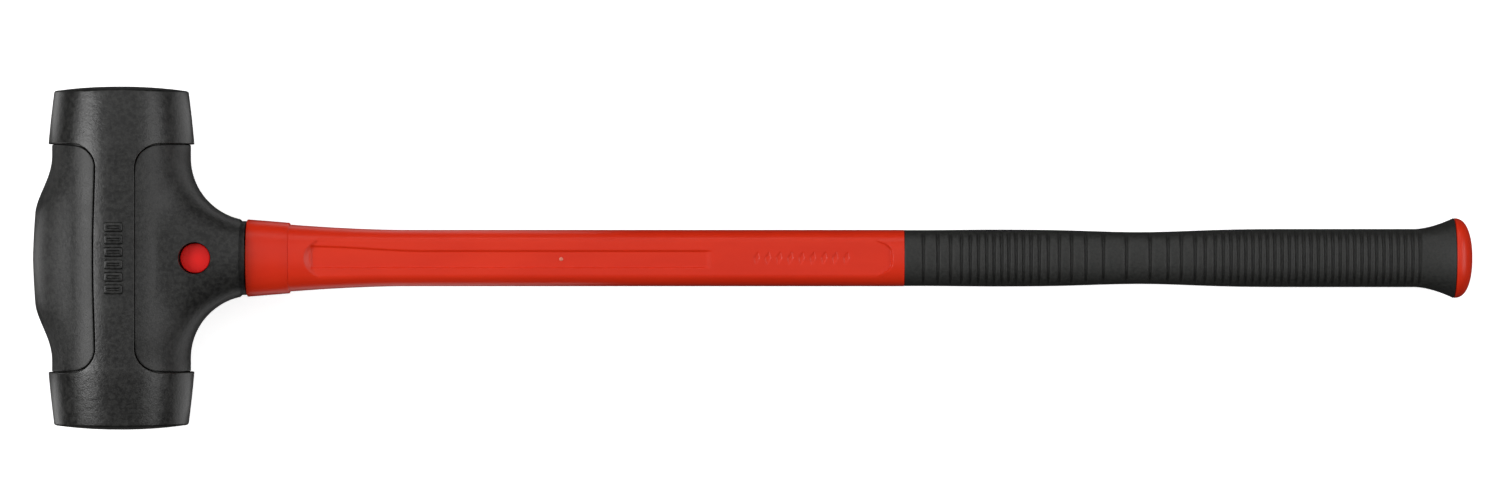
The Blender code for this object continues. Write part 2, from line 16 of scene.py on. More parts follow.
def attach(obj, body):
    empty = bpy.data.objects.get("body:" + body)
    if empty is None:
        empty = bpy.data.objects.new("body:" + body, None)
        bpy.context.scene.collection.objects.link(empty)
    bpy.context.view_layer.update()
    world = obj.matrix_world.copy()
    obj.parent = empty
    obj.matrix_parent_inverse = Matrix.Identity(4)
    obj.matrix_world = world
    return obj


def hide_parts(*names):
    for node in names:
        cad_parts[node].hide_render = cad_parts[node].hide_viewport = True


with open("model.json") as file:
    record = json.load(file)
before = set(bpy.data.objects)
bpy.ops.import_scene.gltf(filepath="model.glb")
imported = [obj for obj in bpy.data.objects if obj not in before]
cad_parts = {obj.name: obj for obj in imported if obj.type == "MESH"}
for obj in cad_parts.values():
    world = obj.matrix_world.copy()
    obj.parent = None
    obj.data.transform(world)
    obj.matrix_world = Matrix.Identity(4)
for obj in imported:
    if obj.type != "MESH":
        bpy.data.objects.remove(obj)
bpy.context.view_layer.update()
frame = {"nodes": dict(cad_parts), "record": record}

MM = 0.001
BODY = "hammer"

# Head
CAP_RADIUS = 45.4 * MM
CAP_TAPER_Y = 70 * MM  # beyond it the caps narrow towards their faces
CAP_TAPER = 0.0516 * MM  # how much they narrow in the first millimetre
CAP_TAPER_POWER = 1.2
CAP_EDGE_Y = 103.1 * MM
FACE_ROUND = 1.8 * MM
FACE_TOP_Y = 107.2 * MM
FACE_CROWN_POWER = 2.2
SHELL_BORE = 40.6 * MM
SHELL_BORE_Y = 88.6 * MM
SLEEVE_RADIUS = 40.3 * MM
SLEEVE_BORE = 36.3 * MM
SLEEVE_Y = 88.3 * MM
SHELL_GRID_Y = 86 * MM
WINDOW_Y = 71.2 * MM
STRAP_EDGE = {1: 12.8 * MM, -1: 11.4 * MM}  # the strap's edge beside the handle and beside the swell
STRAP_SWELL = 1.3 * MM  # how much wider the strap is along the middle of the swell
STRAP_SWELL_FADE = (5 * MM, 62 * MM)  # the stretch of y over which that fades
WINDOW_CORNER = 15 * MM
CORNER_STRETCH = 1.2  # the window's corners are this much longer round the head than along it
# Width of the seam beside the strap, round the corners, and under the caps
SEAM = {1: (0.2 * MM, 0.9 * MM, 0.4 * MM), -1: (1.7 * MM, 1.5 * MM, 0.4 * MM)}
SEAM_TURN_Y = (48 * MM, 62 * MM)  # where it changes from the strap's width to the end's
SEAM_CORNER_SHARE = (0.35, 0.8)  # and, as shares of the window's half width, from the cap's to the corner's
SHELL_LIP = 0.5 * MM
CHEEK_LIP = 0.6 * MM
CHEEK_RADIUS = 43.2 * MM
SWELL_HEIGHT = 12.1 * MM
SWELL_TAPER = 2.4 * MM  # how much lower the swell is at SWELL_TAPER_Y than in its middle
SWELL_TAPER_Y = 40 * MM
SWELL_TAPER_POWER = 1.5
SWELL_FLAT = 28 * MM
SWELL_FOOT = 64 * MM
SWELL_ANGLE = math.radians(53)
SHOULDER = 1.5 * MM  # how far the handle's cheek stands up towards the strap
SHOULDER_FADE_Y = (46 * MM, 66 * MM)
SHOULDER_ANGLE = 0.7  # radians
HOSEL_HALF_HEIGHT = 23.6 * MM
HOSEL_HALF_THICKNESS = 20.4 * MM
HOSEL_FILLET_HIGH = 39 * MM  # fillet between head and hosel in the plane of the swing
HOSEL_FILLET_FLAT = 105 * MM  # and on the flat sides
HOSEL_FADE = 60  # per metre: keeps the hosel out of the head on its far side
HOSEL_FADE_X = 15 * MM
MOUTH_X = 78.4 * MM
MOUTH_ROUND = 0.4 * MM
RING_X = 74.0 * MM  # where the hosel steps down to a narrow ring round its mouth
RING_STEP = 0.45 * MM
EYE_HALF_HEIGHT = 20.3 * MM
EYE_HALF_THICKNESS = 17.3 * MM
PIN_X = 48.6 * MM
PLUG_RADIUS = 9.35 * MM
PLUG_HOLE_RADIUS = 9.95 * MM
PLUG_HOLE_Z = 30 * MM  # the middle of the hole's depth
PLUG_HOLE_DEPTH = 25.4 * MM
PLUG_FOOT_Z = 17.5 * MM
PLUG_TOP_Z = 25.6 * MM
PLUG_LIP = 0.6 * MM
PLUG_CROWN = 0.35 * MM

# Raised bars on the straps
BAR_COUNT = 6
BAR_PITCH = 7.7 * MM
BAR_HALF_X = 5.9 * MM
BAR_HALF_Y = 3.1 * MM
BAR_CORNER = 1.2 * MM
BAR_HEIGHT = 1.2 * MM
BAR_LIP = 0.9 * MM
BAR_ROOT = 0.5 * MM  # how far a bar reaches into the strap
BAR_HOLLOW = 0.9 * MM

# Handle
COLLAR_START_X = 79.0 * MM
COLLAR_END_X = 105.4 * MM
COLLAR_HALF_HEIGHT = 24.25 * MM  # at the head's end
COLLAR_HALF_THICKNESS = 19.9 * MM
COLLAR_TAPER_HEIGHT = 2.15 * MM
COLLAR_TAPER_THICKNESS = 2.4 * MM
COLLAR_POWER = 2.35
COLLAR_LIP = 0.5 * MM
FLARE_END_X = 178 * MM
FLARE_LENGTH = 72 * MM
FLARE_POWER = 1.7
FLARE_HEIGHT = 3.3 * MM
FLARE_THICKNESS = 3.6 * MM
FLARE_FLAT = 1.4 * MM
SHAFT_END_X = 489.6 * MM
SHAFT_HALF_HEIGHT = 17.65 * MM
SHAFT_HALF_THICKNESS = 13.9 * MM
SHAFT_POWER = 2.5  # of the section's superellipse
SHAFT_CREASE = 0.25 * MM  # how far the edges of the flats are rounded off
FLAT_Z = 11.8 * MM
FLAT_HALF = 11.3 * MM
FLAT_LEFT_X = 114.5 * MM
FLAT_RIGHT_X = 482 * MM
GROOVE_START_X = 119.8 * MM
GROOVE_END_X = 370.5 * MM
GROOVE_DEPTH = 0.9 * MM
GROOVE_TOP_Y = 4.4 * MM
GROOVE_TOP_RISE = 2.9 * MM  # how much higher its top is at its start
GROOVE_RISE_END_X = 190 * MM
GROOVE_BOTTOM_Y = -6.0 * MM
WALL_HALF = 0.7 * MM  # half the width of each of the groove's sloping walls
LOZENGE_COUNT = 9  # the row of sunk lozenges on the flat
LOZENGE_FIRST_X = 397.5 * MM
LOZENGE_LAST_X = 453.5 * MM
LOZENGE_HALF_X = 2.1 * MM
LOZENGE_HALF_Y = 4.6 * MM
LOZENGE_LEAN = 0.18
LOZENGE_DEPTH = 0.45 * MM
PIP_X = 275.5 * MM  # the moulding pip in the groove
PIP_Y = -0.6 * MM
PIP_ROOT = 0.2 * MM
PIP_HEIGHT = 0.78 * MM
GRIP_END_X = 833.2 * MM
GRIP_RIB_END_X = 812.3 * MM
GRIP_FIRST_GROOVE_X = 501.5 * MM
GRIP_FLARE_X = 809 * MM
GRIP_FLARE_POWER = 1.7
GRIP_FLARE_FROM = 18.2 * MM  # half the grip's height where the flare starts
GRIP_FLATNESS = 0.79  # thickness over height
GRIP_POWER = 2.5
GRIP_GROOVE_DEPTH = 1.5 * MM
GRIP_GROOVE_WALL = (0.3 * MM, 1.45 * MM)  # from a groove's middle, where its wall starts and ends
GRIP_LINE_DEPTH = 0.3 * MM  # the fine line after the last rib
GRIP_LINE_WALL = (0.05 * MM, 0.45 * MM)
GRIP_SMOOTH_SIDE = (0.3, 0.75)  # as shares of the thickness, where the grooves fade into the narrow sides
POMMEL_END_X = 845.0 * MM
POMMEL_HALF_HEIGHT = 25 * MM
POMMEL_HALF_THICKNESS = 19.5 * MM
POMMEL_POWER = 2.15
POMMEL_LIP = 1.0 * MM

# Floor, just below the bars on the lower strap
FLOOR_Z = -1.6 * MM
FLOOR_HALF = 12
FLOOR_GLOW = 0.75
FLOOR_SEEN = (0.93, 0.93, 0.93)
FLOOR_LIT = (0.05, 0.05, 0.05)  # its colour as the hammer sees it

# Light
SOFTBOXES = [  # name, place, size, radiance
    ("key", (-3.3, 0.2, 2.58), (1.8, 2.0), 7.8),
    ("fill", (3.3, 0.2, 2.0), (2.8, 2.0), 2.9),
    ("overhead", (0.2, 1.0, 3.8), (5.0, 2.6), 0.6),
    ("top", (0.2, 3.4, 2.4), (5.0, 1.0), 1.9),
]
SKY = (0.015, 0.3)  # the world's radiance at the horizon and overhead
# Lit patches of the floor beside the head: x, y, size along x and y, radiance
CARD_Z = 0.002
CARDS = [
    (-0.62, 0, 0.22, 0.09, 1.8),
    (-0.525, 0.105, 0.1, 0.06, 1.0),
    (-0.525, -0.105, 0.1, 0.06, 1.0),
    (-0.21, 0.095, 0.24, 0.1, 0.7),
    (-0.21, -0.095, 0.24, 0.1, 0.7),
]

# Camera, measured from the head's centre in the hammer's axes
CAMERA_X = 393.3 * MM
CAMERA_Y = 9.1 * MM
CAMERA_DISTANCE = 3.43
VIEW_WIDTH = 0.9388


def hammer_axes():
    """The hammer's place in the frame: its head's centre, and the lean that lets head and pommel touch."""
    faces = {m["name"]: Vector(m["pos_m"]) for m in frame["record"]["mounts"]}
    centre = (faces["striking_face_a"] + faces["striking_face_b"]) / 2
    rim = centre.z
    reach = math.hypot(GRIP_END_X, POMMEL_HALF_THICKNESS)
    lean = math.asin(rim / reach) - math.atan2(POMMEL_HALF_THICKNESS, GRIP_END_X)
    return Matrix.Translation(centre) @ Matrix.Rotation(lean, 4, "Y")


HAMMER = hammer_axes()


# ---------------------------------------------------------------- mesh building


def smoothstep(low, high, value):
    t = np.clip((value - low) / (high - low), 0, 1)
    return t * t * (3 - 2 * t)


class Skin:
    """Collects grids of points as quads and makes one welded mesh of them."""

    def __init__(self):
        self.points = []
        self.faces = []
        self.count = 0

    def _take(self, points):
        start = self.count
        self.points.append(points.reshape(-1, 3))
        self.count += len(self.points[-1])
        return start

    def grid(self, rings, wrap=True):
        """rings is (m, n, 3): quads join each ring to the next, and close round it if wrap."""
        m, n = rings.shape[:2]
        ids = self._take(rings) + np.arange(m * n).reshape(m, n)
        if wrap:
            ids = np.hstack([ids, ids[:, :1]])
        corners = (ids[:-1, :-1], ids[:-1, 1:], ids[1:, 1:], ids[1:, :-1])
        self.faces.extend(np.stack([c.ravel() for c in corners], axis=1).tolist())
        return self

    def fan(self, ring, centre):
        """Triangles from a closed ring to one point."""
        n = len(ring)
        start = self._take(np.vstack([ring, np.asarray(centre)[None, :]]))
        self.faces.extend([start + i, start + (i + 1) % n, start + n] for i in range(n))
        return self

    def made(self, name, material, sharp, replaces=(), slot=None):
        """The points welded into one piece, with sharp edges over that many degrees."""
        mesh = bpy.data.meshes.new(name)
        mesh.from_pydata(np.vstack(self.points).tolist(), [], self.faces)
        bm = bmesh.new()
        bm.from_mesh(mesh)
        bmesh.ops.remove_doubles(bm, verts=bm.verts, dist=2e-6)
        bmesh.ops.recalc_face_normals(bm, faces=bm.faces)
        bm.to_mesh(mesh)
        bm.free()
        return place(name, mesh, material, sharp, replaces, slot)


def place(name, mesh, material, sharp, replaces, slot):
    """Makes a mesh in the hammer's axes into a piece that rides on the hammer."""
    mesh.shade_smooth()
    mesh.set_sharp_from_angle(angle=math.radians(sharp))
    mesh.materials.append(material)
    obj = bpy.data.objects.new(name, mesh)
    bpy.context.scene.collection.objects.link(obj)
    obj.matrix_world = HAMMER
    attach(obj, BODY)
    if replaces:
        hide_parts(*replaces)
    return obj


def xyz(x, y, z):
    """Stacks three arrays, or numbers, as points."""
    return np.stack(np.broadcast_arrays(x, y, z), axis=-1).astype(float)


def quarter_turn(steps):
    """Angles from 0 to 90 degrees."""
    return np.linspace(0, math.pi / 2, steps + 1)


# ---------------------------------------------------------------- head


def rounded_frame(half_u, half_v, corner, count_u, count_v):
    """The outline of a rounded rectangle, each side sampled evenly from the middle of one corner to the
    middle of the next, so that outlines of different sizes match point for point."""
    sides = []
    upright, level = (half_v, half_u, count_v), (half_u, half_v, count_u)
    for turn, (a, b, n) in enumerate((upright, level, upright, level)):
        straight, arc = 2 * (a - corner), corner * math.pi / 4
        s = np.linspace(-(straight / 2 + arc), straight / 2 + arc, n, endpoint=False)
        angle = np.clip(np.abs(s) - straight / 2, 0, None) / max(corner, 1e-9)
        along = np.sign(s) * (np.minimum(np.abs(s), straight / 2) + corner * np.sin(angle))
        out = b - corner * (1 - np.cos(angle))
        c, d = math.cos(turn * math.pi / 2), math.sin(turn * math.pi / 2)
        sides.append(np.stack([c * out - d * along, d * out + c * along], axis=1))
    return np.vstack(sides)


HALF_TURN_U = CAP_RADIUS * math.pi / 2
COUNT_U, COUNT_V = 96, 130


def window_half(side):
    """Half the window's width, measured round the cap's surface."""
    return CAP_RADIUS * math.acos(STRAP_EDGE[side] / CAP_RADIUS)


def window_line(side, offset):
    """The window's outline, moved outwards by offset, as (u, y) on the developed cap surface."""
    half = (window_half(side) + offset) / CORNER_STRETCH
    line = rounded_frame(half, WINDOW_Y + offset, WINDOW_CORNER + offset, COUNT_U, COUNT_V)
    line[:, 0] *= CORNER_STRETCH
    if side < 0:
        widen = STRAP_SWELL * (1 - smoothstep(*STRAP_SWELL_FADE, np.abs(line[:, 1])))
        line[:, 0] -= widen * line[:, 0] / window_half(side)
    return line


def seam_line(side, inwards):
    """The window's outline, moved inwards by the seam's width and a little more."""
    beside, corner, under = (window_line(side, -(width + inwards)) for width in SEAM[side])
    end = smoothstep(*SEAM_TURN_Y, np.abs(beside[:, 1]))[:, None]
    near = smoothstep(*SEAM_CORNER_SHARE, np.abs(corner[:, 0]) / window_half(side))[:, None]
    return beside + end * (under + near * (corner - under) - beside)


def wrapped(side, line, radius):
    """Points of a developed (u, y) line on the head, at the given radius."""
    angle = line[..., 0] / CAP_RADIUS
    return xyz(side * radius * np.cos(angle), line[..., 1], radius * np.sin(angle))


def cap_radius(y):
    """Radius of the caps and straps along the head."""
    beyond = np.clip(np.abs(y) - CAP_TAPER_Y, 0, None) / MM
    return CAP_RADIUS - CAP_TAPER * beyond**CAP_TAPER_POWER


def lip_drop(offset, lip):
    """How far a lip of that radius has fallen at a distance offset from its edge."""
    inside = np.clip(lip - offset, 0, lip)
    return lip - np.sqrt(np.maximum(lip**2 - inside**2, 0))


def wear_shell(material):
    """The jacket's two caps and two straps, with its rounded window edges and its bore."""
    skin = Skin()
    lip_steps = SHELL_LIP * (1 - np.cos(quarter_turn(5)))
    frame_line = rounded_frame(HALF_TURN_U, SHELL_GRID_Y, 0, COUNT_U, COUNT_V)
    for side in (1, -1):
        edge = window_line(side, 0)
        rings = [wrapped(side, edge, r) for r in np.linspace(SHELL_BORE, CAP_RADIUS - SHELL_LIP, 4)[:-1]]
        for offset in lip_steps:
            line = window_line(side, offset)
            rings.append(wrapped(side, line, cap_radius(line[:, 1]) - lip_drop(offset, SHELL_LIP)))
        start = window_line(side, SHELL_LIP)
        for t in (np.arange(1, 25) / 24) ** 1.35:
            line = start + t * (frame_line - start)
            rings.append(wrapped(side, line, cap_radius(line[:, 1])))
        skin.grid(np.array(rings))
        inner = [wrapped(side, edge + t * (frame_line - edge), SHELL_BORE) for t in np.linspace(0, 1, 7)]
        skin.grid(np.array(inner))
    # The caps go all the way round, with the same points round them as the two halves' ends.
    end = frame_line[np.isclose(frame_line[:, 1], SHELL_GRID_Y)][:, 0]
    end = np.unique(np.round(np.append(end, [-HALF_TURN_U, HALF_TURN_U]), 9)) / CAP_RADIUS
    turn = np.concatenate([end[:-1], end[:-1] + math.pi])
    for side in (1, -1):
        profile = [(cap_radius(y), y) for y in np.linspace(SHELL_GRID_Y, CAP_EDGE_Y, 9)]
        edge_radius = cap_radius(CAP_EDGE_Y)
        for a in quarter_turn(6)[1:]:
            radius = edge_radius - FACE_ROUND * (1 - math.cos(a))
            profile.append((radius, CAP_EDGE_Y + 0.8 * FACE_ROUND * math.sin(a)))
        rim, rim_y = profile[-1]
        for share in np.linspace(1, 0, 16)[1:-1]:
            profile.append((rim * share, FACE_TOP_Y - (FACE_TOP_Y - rim_y) * share**FACE_CROWN_POWER))
        rings = [xyz(r * np.cos(turn), side * y, r * np.sin(turn)) for r, y in profile]
        skin.grid(np.array(rings))
        skin.fan(rings[-1], (0, side * FACE_TOP_Y, 0))
        bore = [(SHELL_BORE, SHELL_GRID_Y), (SHELL_BORE, SHELL_BORE_Y), (SHELL_BORE / 2, SHELL_BORE_Y)]
        rings = [xyz(r * np.cos(turn), side * y, r * np.sin(turn)) for r, y in bore]
        skin.grid(np.array(rings))
        skin.fan(rings[-1], (0, side * SHELL_BORE_Y, 0))
    skin.made("wear_shell_skin", material, 50, ["wear_shell"], "head_jacket")


def cheek_distance(points):
    """Signed distance, roughly, to the surface of cheeks, swell and hosel."""
    x, y, z = points[..., 0], points[..., 1], points[..., 2]
    along, across = np.abs(y), np.hypot(y, z) + 1e-9
    radius = np.hypot(x, z)
    angle = np.abs(np.arctan2(np.abs(z), -x))
    swell = (1 - smoothstep(SWELL_FLAT, SWELL_FOOT, along)) * (1 - smoothstep(0, SWELL_ANGLE, angle))
    swell_height = SWELL_HEIGHT - SWELL_TAPER * (along / SWELL_TAPER_Y) ** SWELL_TAPER_POWER
    shoulder = (1 - smoothstep(*SHOULDER_FADE_Y, along)) * smoothstep(0, SHOULDER_ANGLE, np.pi - angle)
    shoulder = np.where(x > 0, shoulder, 0)
    to_head = radius - CHEEK_RADIUS - SHOULDER * shoulder - swell_height * swell
    oval = np.sqrt((y / HOSEL_HALF_HEIGHT) ** 2 + (z / HOSEL_HALF_THICKNESS) ** 2) + 1e-9
    to_hosel = across * (1 - 1 / oval) + HOSEL_FADE * np.clip(HOSEL_FADE_X - x, 0, None) ** 2
    fillet = HOSEL_FILLET_FLAT + (HOSEL_FILLET_HIGH - HOSEL_FILLET_FLAT) * (y / across) ** 2
    # The fillet's arc touches both surfaces, which meet at an angle with this cosine.
    cosine = np.clip(z**2 / (radius * across + 1e-9), 0, 0.98)
    head_in, hosel_in = fillet - to_head, fillet - to_hosel
    square = head_in**2 + hosel_in**2 - 2 * cosine * head_in * hosel_in
    arc = fillet - np.sqrt(np.maximum(square, 0) / (1 - cosine**2))
    between_both = (head_in > cosine * hosel_in) & (hosel_in > cosine * head_in)
    return np.where(between_both, arc, np.minimum(to_head, to_hosel))


def settled(points, passes=10):
    """Points moved along the slope of cheek_distance until they lie on its surface."""
    step = 2e-5
    for _ in range(passes):
        value = cheek_distance(points)
        slopes = [
            (cheek_distance(points + step * axis) - cheek_distance(points - step * axis)) / (2 * step)
            for axis in np.eye(3)
        ]
        gradient = np.stack(slopes, axis=-1)
        points = points - gradient * (value / np.maximum((gradient**2).sum(-1), 0.25))[..., None]
    return points


def cheek_rim(side, offset, passes=8):
    """The cheek's surface along its outline, moved inwards by offset, found along each radius."""
    line = seam_line(side, offset)
    radius = np.full(len(line), CHEEK_RADIUS)
    for _ in range(passes):
        radius = radius - cheek_distance(wrapped(side, line, radius))
    return line, radius


def lip_rings(side):
    """The cheek's rounded edge, from the bottom of the seam to where its face begins."""
    foot = seam_line(side, 0)
    rings = [wrapped(side, foot, r) for r in (SLEEVE_RADIUS, SLEEVE_RADIUS + 1 * MM)]
    for offset in CHEEK_LIP * (1 - np.cos(quarter_turn(4))):
        line, radius = cheek_rim(side, offset)
        rings.append(wrapped(side, line, radius - lip_drop(offset, CHEEK_LIP)))
    return rings


def sleeve_rings(side, inner_line, steps=7):
    """The half of the sleeve under the straps and caps, and its bore as far as inner_line."""
    half = rounded_frame(HALF_TURN_U - 0.1 * MM, SLEEVE_Y, 0, COUNT_U, COUNT_V)
    foot = seam_line(side, 0)
    rings = [wrapped(side, foot + t * (half - foot), SLEEVE_RADIUS) for t in np.linspace(0, 1, 5)]
    rings = rings[:0:-1]
    lines = [inner_line + t * (half - inner_line) for t in np.linspace(0, 1, steps)]
    return [wrapped(side, line, SLEEVE_BORE) for line in lines] + rings


def even_lengths(paths):
    """Each column of (m, n, 3) paths, with its points spread evenly along it."""
    m, n = paths.shape[:2]
    lengths = np.linalg.norm(np.diff(paths, axis=0), axis=2)
    run = np.vstack([np.zeros(n), np.cumsum(lengths, axis=0)])
    even = np.empty_like(paths)
    for i in range(n):
        at = np.linspace(0, run[-1, i], m)
        for k in range(3):
            even[:, i, k] = np.interp(at, run[:, i], paths[:, i, k])
    return even


def cheek_paths(edge_line, edge, mouth):
    """Lines over the cheek and hosel from the window's edge to the mouth, evenly spaced."""
    inward = -edge_line / np.linalg.norm(edge_line, axis=1)[:, None]
    angle = edge_line[:, 0] / CAP_RADIUS
    tangent = xyz(-np.sin(angle) * inward[:, 0], inward[:, 1], np.cos(angle) * inward[:, 0])
    reach = 0.42 * np.linalg.norm(mouth - edge, axis=1)[:, None]
    leave = edge + tangent * reach
    arrive = mouth - np.array([1, 0, 0]) * reach
    t = np.linspace(0, 1, 110)[:, None, None]
    paths = (1 - t) ** 3 * edge + 3 * (1 - t) ** 2 * t * leave + 3 * (1 - t) * t**2 * arrive + t**3 * mouth
    for _ in range(3):
        paths[1:-1] = settled(paths[1:-1], 6)
        paths = even_lengths(paths)
    paths[1:-1] = settled(paths[1:-1])
    return list(paths)


def handle_cheek(material):
    """The cheek on the handle's side, its hosel and its half of the sleeve."""
    side = 1
    edge_line, edge_radius = cheek_rim(side, CHEEK_LIP)
    edge = wrapped(side, edge_line, edge_radius)
    around = np.arctan2(edge_line[:, 0] / window_half(side), edge_line[:, 1] / WINDOW_Y)
    oval = xyz(0, np.cos(around), np.sin(around))
    mouth = xyz(RING_X, HOSEL_HALF_HEIGHT * oval[:, 1], HOSEL_HALF_THICKNESS * oval[:, 2])
    rings = lip_rings(side)[:-1] + cheek_paths(edge_line, edge, mouth)
    steps = (0.2, 0.4, 0.6, 0.8, 1)
    edges = [(RING_X + 1.6 * RING_STEP * t, RING_STEP * smoothstep(0, 1, t)) for t in steps]
    edges.append((RING_X + 2 * MM, RING_STEP))
    for a in quarter_turn(4):
        inset = RING_STEP + MOUTH_ROUND * (1 - math.cos(a))
        edges.append((MOUTH_X - MOUTH_ROUND * (1 - math.sin(a)), inset))
    for x, inset in edges:
        size = (HOSEL_HALF_HEIGHT - inset, HOSEL_HALF_THICKNESS - inset)
        rings.append(xyz(x, size[0] * oval[:, 1], size[1] * oval[:, 2]))
    bore_y, bore_z = EYE_HALF_HEIGHT * oval[:, 1], EYE_HALF_THICKNESS * oval[:, 2]
    bore_foot = np.sqrt(SLEEVE_BORE**2 - bore_z**2)
    for share in (0, 0.03, 0.5, 1):
        rings.append(xyz(MOUTH_X + (bore_foot - MOUTH_X) * share, bore_y, bore_z))
    inner_line = np.stack([np.arcsin(bore_z / SLEEVE_BORE) * CAP_RADIUS, bore_y], axis=1)
    rings += sleeve_rings(side, inner_line)[1:]
    rings.append(rings[0])
    skin = Skin().grid(np.array(rings))
    obj = skin.made("cheek_handle_side", material, 50, ["head_body"], "head_jacket")
    for z_side in (1, -1):
        drill(obj, (PIN_X, 0, z_side * PLUG_HOLE_Z), PLUG_HOLE_RADIUS, PLUG_HOLE_DEPTH)


def drill(obj, centre, radius, depth):
    """Cuts a round hole along Z out of a piece, and applies the cut."""
    bm = bmesh.new()
    place_of_cut = Matrix.Translation(centre)
    size = {"radius1": radius, "radius2": radius, "depth": depth}
    bmesh.ops.create_cone(bm, cap_ends=True, segments=128, matrix=place_of_cut, **size)
    mesh = bpy.data.meshes.new("drill")
    bm.to_mesh(mesh)
    bm.free()
    cutter = bpy.data.objects.new("drill", mesh)
    bpy.context.scene.collection.objects.link(cutter)
    cutter.matrix_world = obj.matrix_world
    cut = obj.modifiers.new("drill", "BOOLEAN")
    cut.operation = "DIFFERENCE"
    cut.object = cutter
    bpy.context.view_layer.update()
    graph = bpy.context.evaluated_depsgraph_get()
    result = bpy.data.meshes.new_from_object(obj.evaluated_get(graph))
    obj.modifiers.remove(cut)
    bpy.data.objects.remove(cutter)
    obj.data = result
    result.set_sharp_from_angle(angle=math.radians(50))


def swell_cheek(material):
    """The cheek with the swell, opposite the handle, and its half of the sleeve."""
    side = -1
    edge_line, edge_radius = cheek_rim(side, CHEEK_LIP)
    rings = lip_rings(side)[:-1] + [wrapped(side, edge_line, edge_radius)]
    for share in np.linspace(1, 0, 60)[1:-1]:
        line = edge_line * share
        radius = np.full(len(line), CHEEK_RADIUS)
        for _ in range(8):
            radius = radius - cheek_distance(wrapped(side, line, radius))
        rings.append(wrapped(side, line, radius))
    skin = Skin().grid(np.array(rings))
    skin.fan(rings[-1], (-(CHEEK_RADIUS + SWELL_HEIGHT), 0, 0))
    middle = edge_line * 0.02
    back = sleeve_rings(side, middle) + [rings[0]]
    skin.grid(np.array(back))
    skin.fan(back[0], (-SLEEVE_BORE, 0, 0))
    skin.made("cheek_swell_side", material, 50, ["head_body"], "head_jacket")


def strap_marks(material):
    """Plain raised bars along the middle of each strap, each with a hollow down its top."""
    skin = Skin()
    rings = []
    edge = ((0, -BAR_ROOT), (0, 0), (0.4 * BAR_LIP, 0.65 * BAR_HEIGHT), (0.75 * BAR_LIP, 0.95 * BAR_HEIGHT))
    for inset, up in (*edge, (BAR_LIP, BAR_HEIGHT)):
        line = rounded_frame(BAR_HALF_X - inset, BAR_HALF_Y - inset, BAR_CORNER - inset, 16, 8)
        rings.append((line, up))
    top = rings[-1][0]
    rings.append((top * np.array([0.8, 0.5]), BAR_HEIGHT))
    rings.append((top * np.array([0.68, 0.2]), BAR_HEIGHT - BAR_HOLLOW))
    for z_side in (1, -1):
        for i in range(BAR_COUNT):
            middle_y = (i - (BAR_COUNT - 1) / 2) * BAR_PITCH
            points = []
            for line, up in rings:
                angle = line[:, 0] / CAP_RADIUS
                radius = CAP_RADIUS + up
                height = z_side * radius * np.cos(angle)
                points.append(xyz(radius * np.sin(angle), middle_y + line[:, 1], height))
            skin.grid(np.array(points))
            skin.fan(points[-1], (0, middle_y, z_side * (CAP_RADIUS + BAR_HEIGHT - BAR_HOLLOW)))
            skin.fan(points[0], (0, middle_y, z_side * (CAP_RADIUS - BAR_ROOT)))
    skin.made("strap_marks", material, 35, slot="head_jacket")


def pin_plugs(material):
    """The plugs over the pin's two ends, with rounded edges and low crowns."""
    turn = np.linspace(0, 2 * math.pi, 96, endpoint=False)
    shoulder = PLUG_TOP_Z - PLUG_LIP
    profile = [(PLUG_RADIUS, PLUG_FOOT_Z), (PLUG_RADIUS, shoulder)]
    for a in quarter_turn(5)[1:]:
        profile.append((PLUG_RADIUS - PLUG_LIP * (1 - math.cos(a)), shoulder + PLUG_LIP * math.sin(a)))
    for share in (0.8, 0.6, 0.4, 0.2):
        profile.append((PLUG_RADIUS * share, PLUG_TOP_Z + PLUG_CROWN * (1 - share**2)))
    for label, z_side in (("front", 1), ("back", -1)):
        rings = [xyz(PIN_X + r * np.cos(turn), r * np.sin(turn), z_side * z) for r, z in profile]
        skin = Skin().grid(np.array(rings))
        skin.fan(rings[-1], (PIN_X, 0, z_side * (PLUG_TOP_Z + PLUG_CROWN)))
        skin.fan(rings[0], (PIN_X, 0, z_side * PLUG_FOOT_Z))
        skin.made(f"plug_{label}", material, 50, [f"pin_plug_{label}"], "plug_plastic")


# ---------------------------------------------------------------- handle


def flare(x):
    """Share of the shaft's flare towards the head."""
    return (np.clip(FLARE_END_X - x, 0, None) / FLARE_LENGTH) ** FLARE_POWER


def shaft_half_height(x):
    return SHAFT_HALF_HEIGHT + FLARE_HEIGHT * flare(x)


def shaft_half_thickness(x):
    return SHAFT_HALF_THICKNESS + FLARE_THICKNESS * flare(x)


def flat_half(x):
    """Half the width of the flats."""
    return FLAT_HALF + FLARE_FLAT * flare(x)


def groove_top(x):
    return GROOVE_TOP_Y + GROOVE_TOP_RISE * (1 - smoothstep(GROOVE_START_X, GROOVE_RISE_END_X, x))


def groove_bottom(x):
    return np.full_like(x, GROOVE_BOTTOM_Y)


def between(low, high, count, cluster):
    """count fractions of the way from low to high, closer together at both ends as cluster goes to 1."""
    t = np.arange(count) / count
    eased = t * t * (3 - 2 * t)
    t = t + cluster * (eased - t)
    return low + (high - low) * t[:, None]


